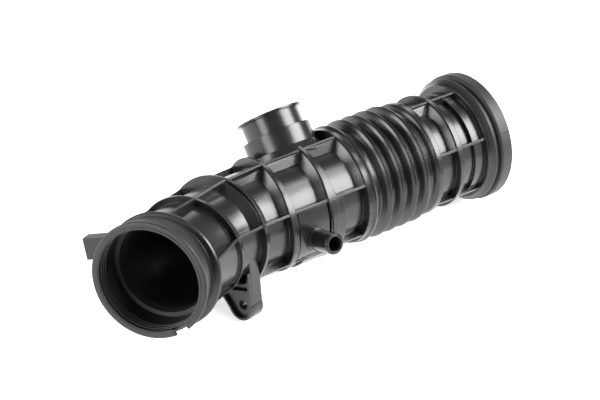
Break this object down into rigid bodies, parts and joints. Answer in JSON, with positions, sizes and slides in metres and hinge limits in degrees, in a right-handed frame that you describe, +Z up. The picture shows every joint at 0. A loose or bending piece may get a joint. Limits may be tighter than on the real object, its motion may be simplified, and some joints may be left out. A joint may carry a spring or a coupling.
{
  "type": "air intake hose",
  "caption": "Moulded rubber air intake hose with a bent mouth, bellows, rings and long ribs, a branch port on top, a vent nipple and a bolt lug.",
  "frame": {"origin": "centre of the outer box at floor level, with the hose lying as it comes to rest", "axes": "+X along the straight half towards the rear collar, +Z up from the floor, -Y the side to which the mouth end bends"},
  "size_m": [0.3128, 0.128, 0.0947],
  "materials": {
    "rubber": "satin black"
  },
  "bodies": {
    "root": {"intake_hose": "rubber"}
  },
  "joints": []
}
